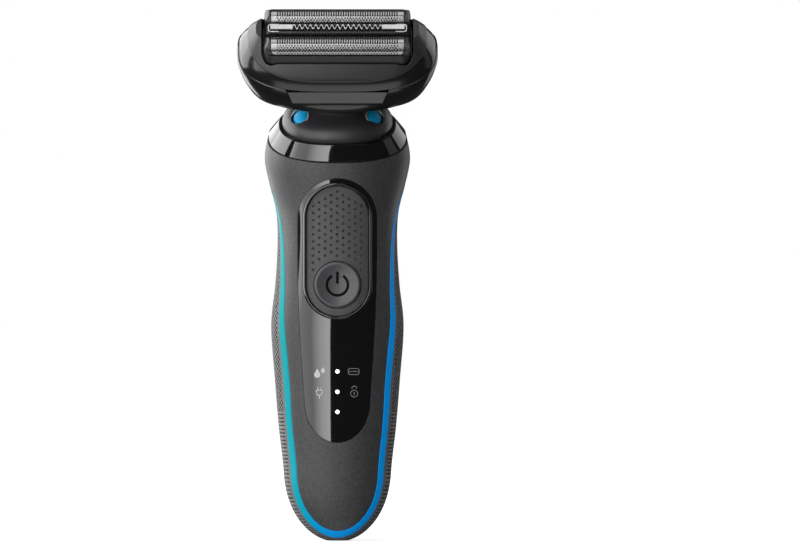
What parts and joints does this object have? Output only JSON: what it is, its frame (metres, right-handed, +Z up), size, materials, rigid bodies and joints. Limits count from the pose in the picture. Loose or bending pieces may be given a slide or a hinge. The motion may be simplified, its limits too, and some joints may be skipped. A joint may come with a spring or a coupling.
{
  "type": "foil shaver",
  "caption": "Cordless foil shaver: contoured handle with glossy thumb panel and round power button, tilted neck with release buttons, swivelling head with a lift-off foil cassette.",
  "frame": {"origin": "centre of the bounding box, at the bottom end of the handle", "axes": "+Z up the handle to the head, +Y out of the back of the handle, +X along the foils to the right as seen from the thumb panel"},
  "size_m": [0.062, 0.0477, 0.1644],
  "materials": {
    "charcoal_plastic": "satin with a fine speckled grain",
    "grip_rubber": "matt, moulded with small pits",
    "inner_plastic": "plain moulded",
    "blue_trim": "satin gloss, teal on the left to blue on the right",
    "gloss_black": "high gloss",
    "satin_black": "satin",
    "release_blue": "satin gloss",
    "white_plastic": "plain moulded",
    "lamp_white": "clear white",
    "foil_steel": "bright, perforated",
    "blade_steel": "ground",
    "plain_steel": "plain",
    "brass_parts": "plain",
    "rocker_plastic": "plain moulded",
    "cell_wrap": "shrink wrapped",
    "board_green": "solder mask"
  },
  "bodies": {
    "handle": {"front_cover": "charcoal_plastic", "rear_shell": "inner_plastic", "rear_grip": "grip_rubber", "accent_trim": "blue_trim", "display_window": "gloss_black", "thumb_bezel": "gloss_black", "thumb_pad": "grip_rubber", "light_guide": "white_plastic", "power_inlet": "gloss_black", "inlet_pin_left": "brass_parts", "inlet_pin_right": "brass_parts", "inlet_seal": "grip_rubber", "chassis": "inner_plastic", "battery_cell": "cell_wrap", "battery_tab_lower": "plain_steel", "battery_tab_upper": "plain_steel", "circuit_board": "board_green", "tact_switch": "inner_plastic", "status_light_lower": "lamp_white", "status_light_middle": "lamp_white", "status_light_upper": "lamp_white", "board_screw_lower": "plain_steel", "board_screw_upper": "plain_steel", "motor_can": "plain_steel", "motor_end_bell": "inner_plastic", "motor_mount": "inner_plastic", "collar_ring": "gloss_black", "shoulder_cap": "satin_black", "neck_core": "inner_plastic", "rocker_pivot_pin": "plain_steel", "neck_screw_left": "plain_steel", "neck_screw_right": "plain_steel"},
    "rotor": {"motor_shaft": "plain_steel", "eccentric": "brass_parts"},
    "rocker": {"rocker_arm": "rocker_plastic"},
    "button": {"power_button": "satin_black"},
    "release_left": {"release_button_left": "release_blue"},
    "release_right": {"release_button_right": "release_blue"},
    "head": {"head_bowl": "gloss_black", "head_rim": "gloss_black", "head_frame": "satin_black", "front_accent": "gloss_black", "pivot_pin_left": "plain_steel", "pivot_pin_right": "plain_steel", "drive_guide": "inner_plastic"},
    "bridge": {"drive_bridge": "white_plastic", "front_cutter_spring": "plain_steel", "rear_cutter_spring": "plain_steel"},
    "cassette": {"cassette_frame": "satin_black"},
    "front_float": {"front_foil_carrier": "satin_black", "front_foil": "foil_steel"},
    "rear_float": {"rear_foil_carrier": "satin_black", "rear_foil": "foil_steel"},
    "trimmer_float": {"trimmer_carrier": "satin_black", "trimmer_comb": "foil_steel"},
    "front_cutter_body": {"front_cutter": "blade_steel"},
    "rear_cutter_body": {"rear_cutter": "blade_steel"},
    "blade_body": {"trimmer_blade": "blade_steel"}
  },
  "joints": [
    {"name": "head_swivel", "type": "hinge", "parent": "handle", "child": "head", "pos_m": [0, -0.00009, 0.14067], "axis": [1, 0, 0], "range_deg": [-35, 5]},
    {"name": "cassette_lift", "type": "slide", "parent": "head", "child": "cassette", "axis": [0, -0.7071, 0.7071], "range_m": [0, 0.025]},
    {"name": "front_foil_float", "type": "slide", "parent": "cassette", "child": "front_float", "axis": [0, -0.7071, 0.7071], "range_m": [-0.0015, 0], "stiffness_N_per_m": 400, "springref_m": 0.001, "deforming": ["front_cutter_spring"]},
    {"name": "rear_foil_float", "type": "slide", "parent": "cassette", "child": "rear_float", "axis": [0, -0.7071, 0.7071], "range_m": [-0.0015, 0], "stiffness_N_per_m": 400, "springref_m": 0.001, "deforming": ["rear_cutter_spring"]},
    {"name": "trimmer_float", "type": "slide", "parent": "cassette", "child": "trimmer_float", "axis": [0, -0.7071, 0.7071], "range_m": [-0.0015, 0], "stiffness_N_per_m": 400, "springref_m": 0.001},
    {"name": "bridge_stroke", "type": "slide", "parent": "head", "child": "bridge", "axis": [1, 0, 0], "range_m": [-0.0012, 0.0012]},
    {"name": "front_cutter_stroke", "type": "slide", "parent": "front_float", "child": "front_cutter_body", "axis": [1, 0, 0], "range_m": [-0.0012, 0.0012]},
    {"name": "rear_cutter_stroke", "type": "slide", "parent": "rear_float", "child": "rear_cutter_body", "axis": [1, 0, 0], "range_m": [-0.0012, 0.0012]},
    {"name": "trimmer_stroke", "type": "slide", "parent": "trimmer_float", "child": "blade_body", "axis": [1, 0, 0], "range_m": [-0.0012, 0.0012]},
    {"name": "rocker_swing", "type": "hinge", "parent": "handle", "child": "rocker", "pos_m": [0, 0.0067, 0.12842], "axis": [0, 0.8746, 0.4848], "range_deg": [-5, 5]},
    {"name": "motor_spin", "type": "hinge", "parent": "handle", "child": "rotor", "pos_m": [0, 0.01075, 0.1], "axis": [0, 0, 1], "continuous": true},
    {"name": "power_button_press", "type": "slide", "parent": "handle", "child": "button", "axis": [0, 1, 0], "range_m": [0, 0.0006], "stiffness_N_per_m": 1500, "springref_m": -0.0005},
    {"name": "release_press_left", "type": "slide", "parent": "handle", "child": "release_left", "axis": [0.499, 0.7343, -0.4602], "range_m": [0, 0.001], "stiffness_N_per_m": 800, "springref_m": -0.0008},
    {"name": "release_press_right", "type": "slide", "parent": "handle", "child": "release_right", "axis": [-0.499, 0.7343, -0.4602], "range_m": [0, 0.001], "stiffness_N_per_m": 800, "springref_m": -0.0008}
  ],
  "couplings": [
    {"joint": "front_cutter_stroke", "follows": "bridge_stroke", "ratio": 1},
    {"joint": "rear_cutter_stroke", "follows": "bridge_stroke", "ratio": 1},
    {"joint": "trimmer_stroke", "follows": "bridge_stroke", "ratio": 1},
    {"joint": "rocker_swing", "follows": "bridge_stroke", "rad_per_m": 71.429}
  ]
}
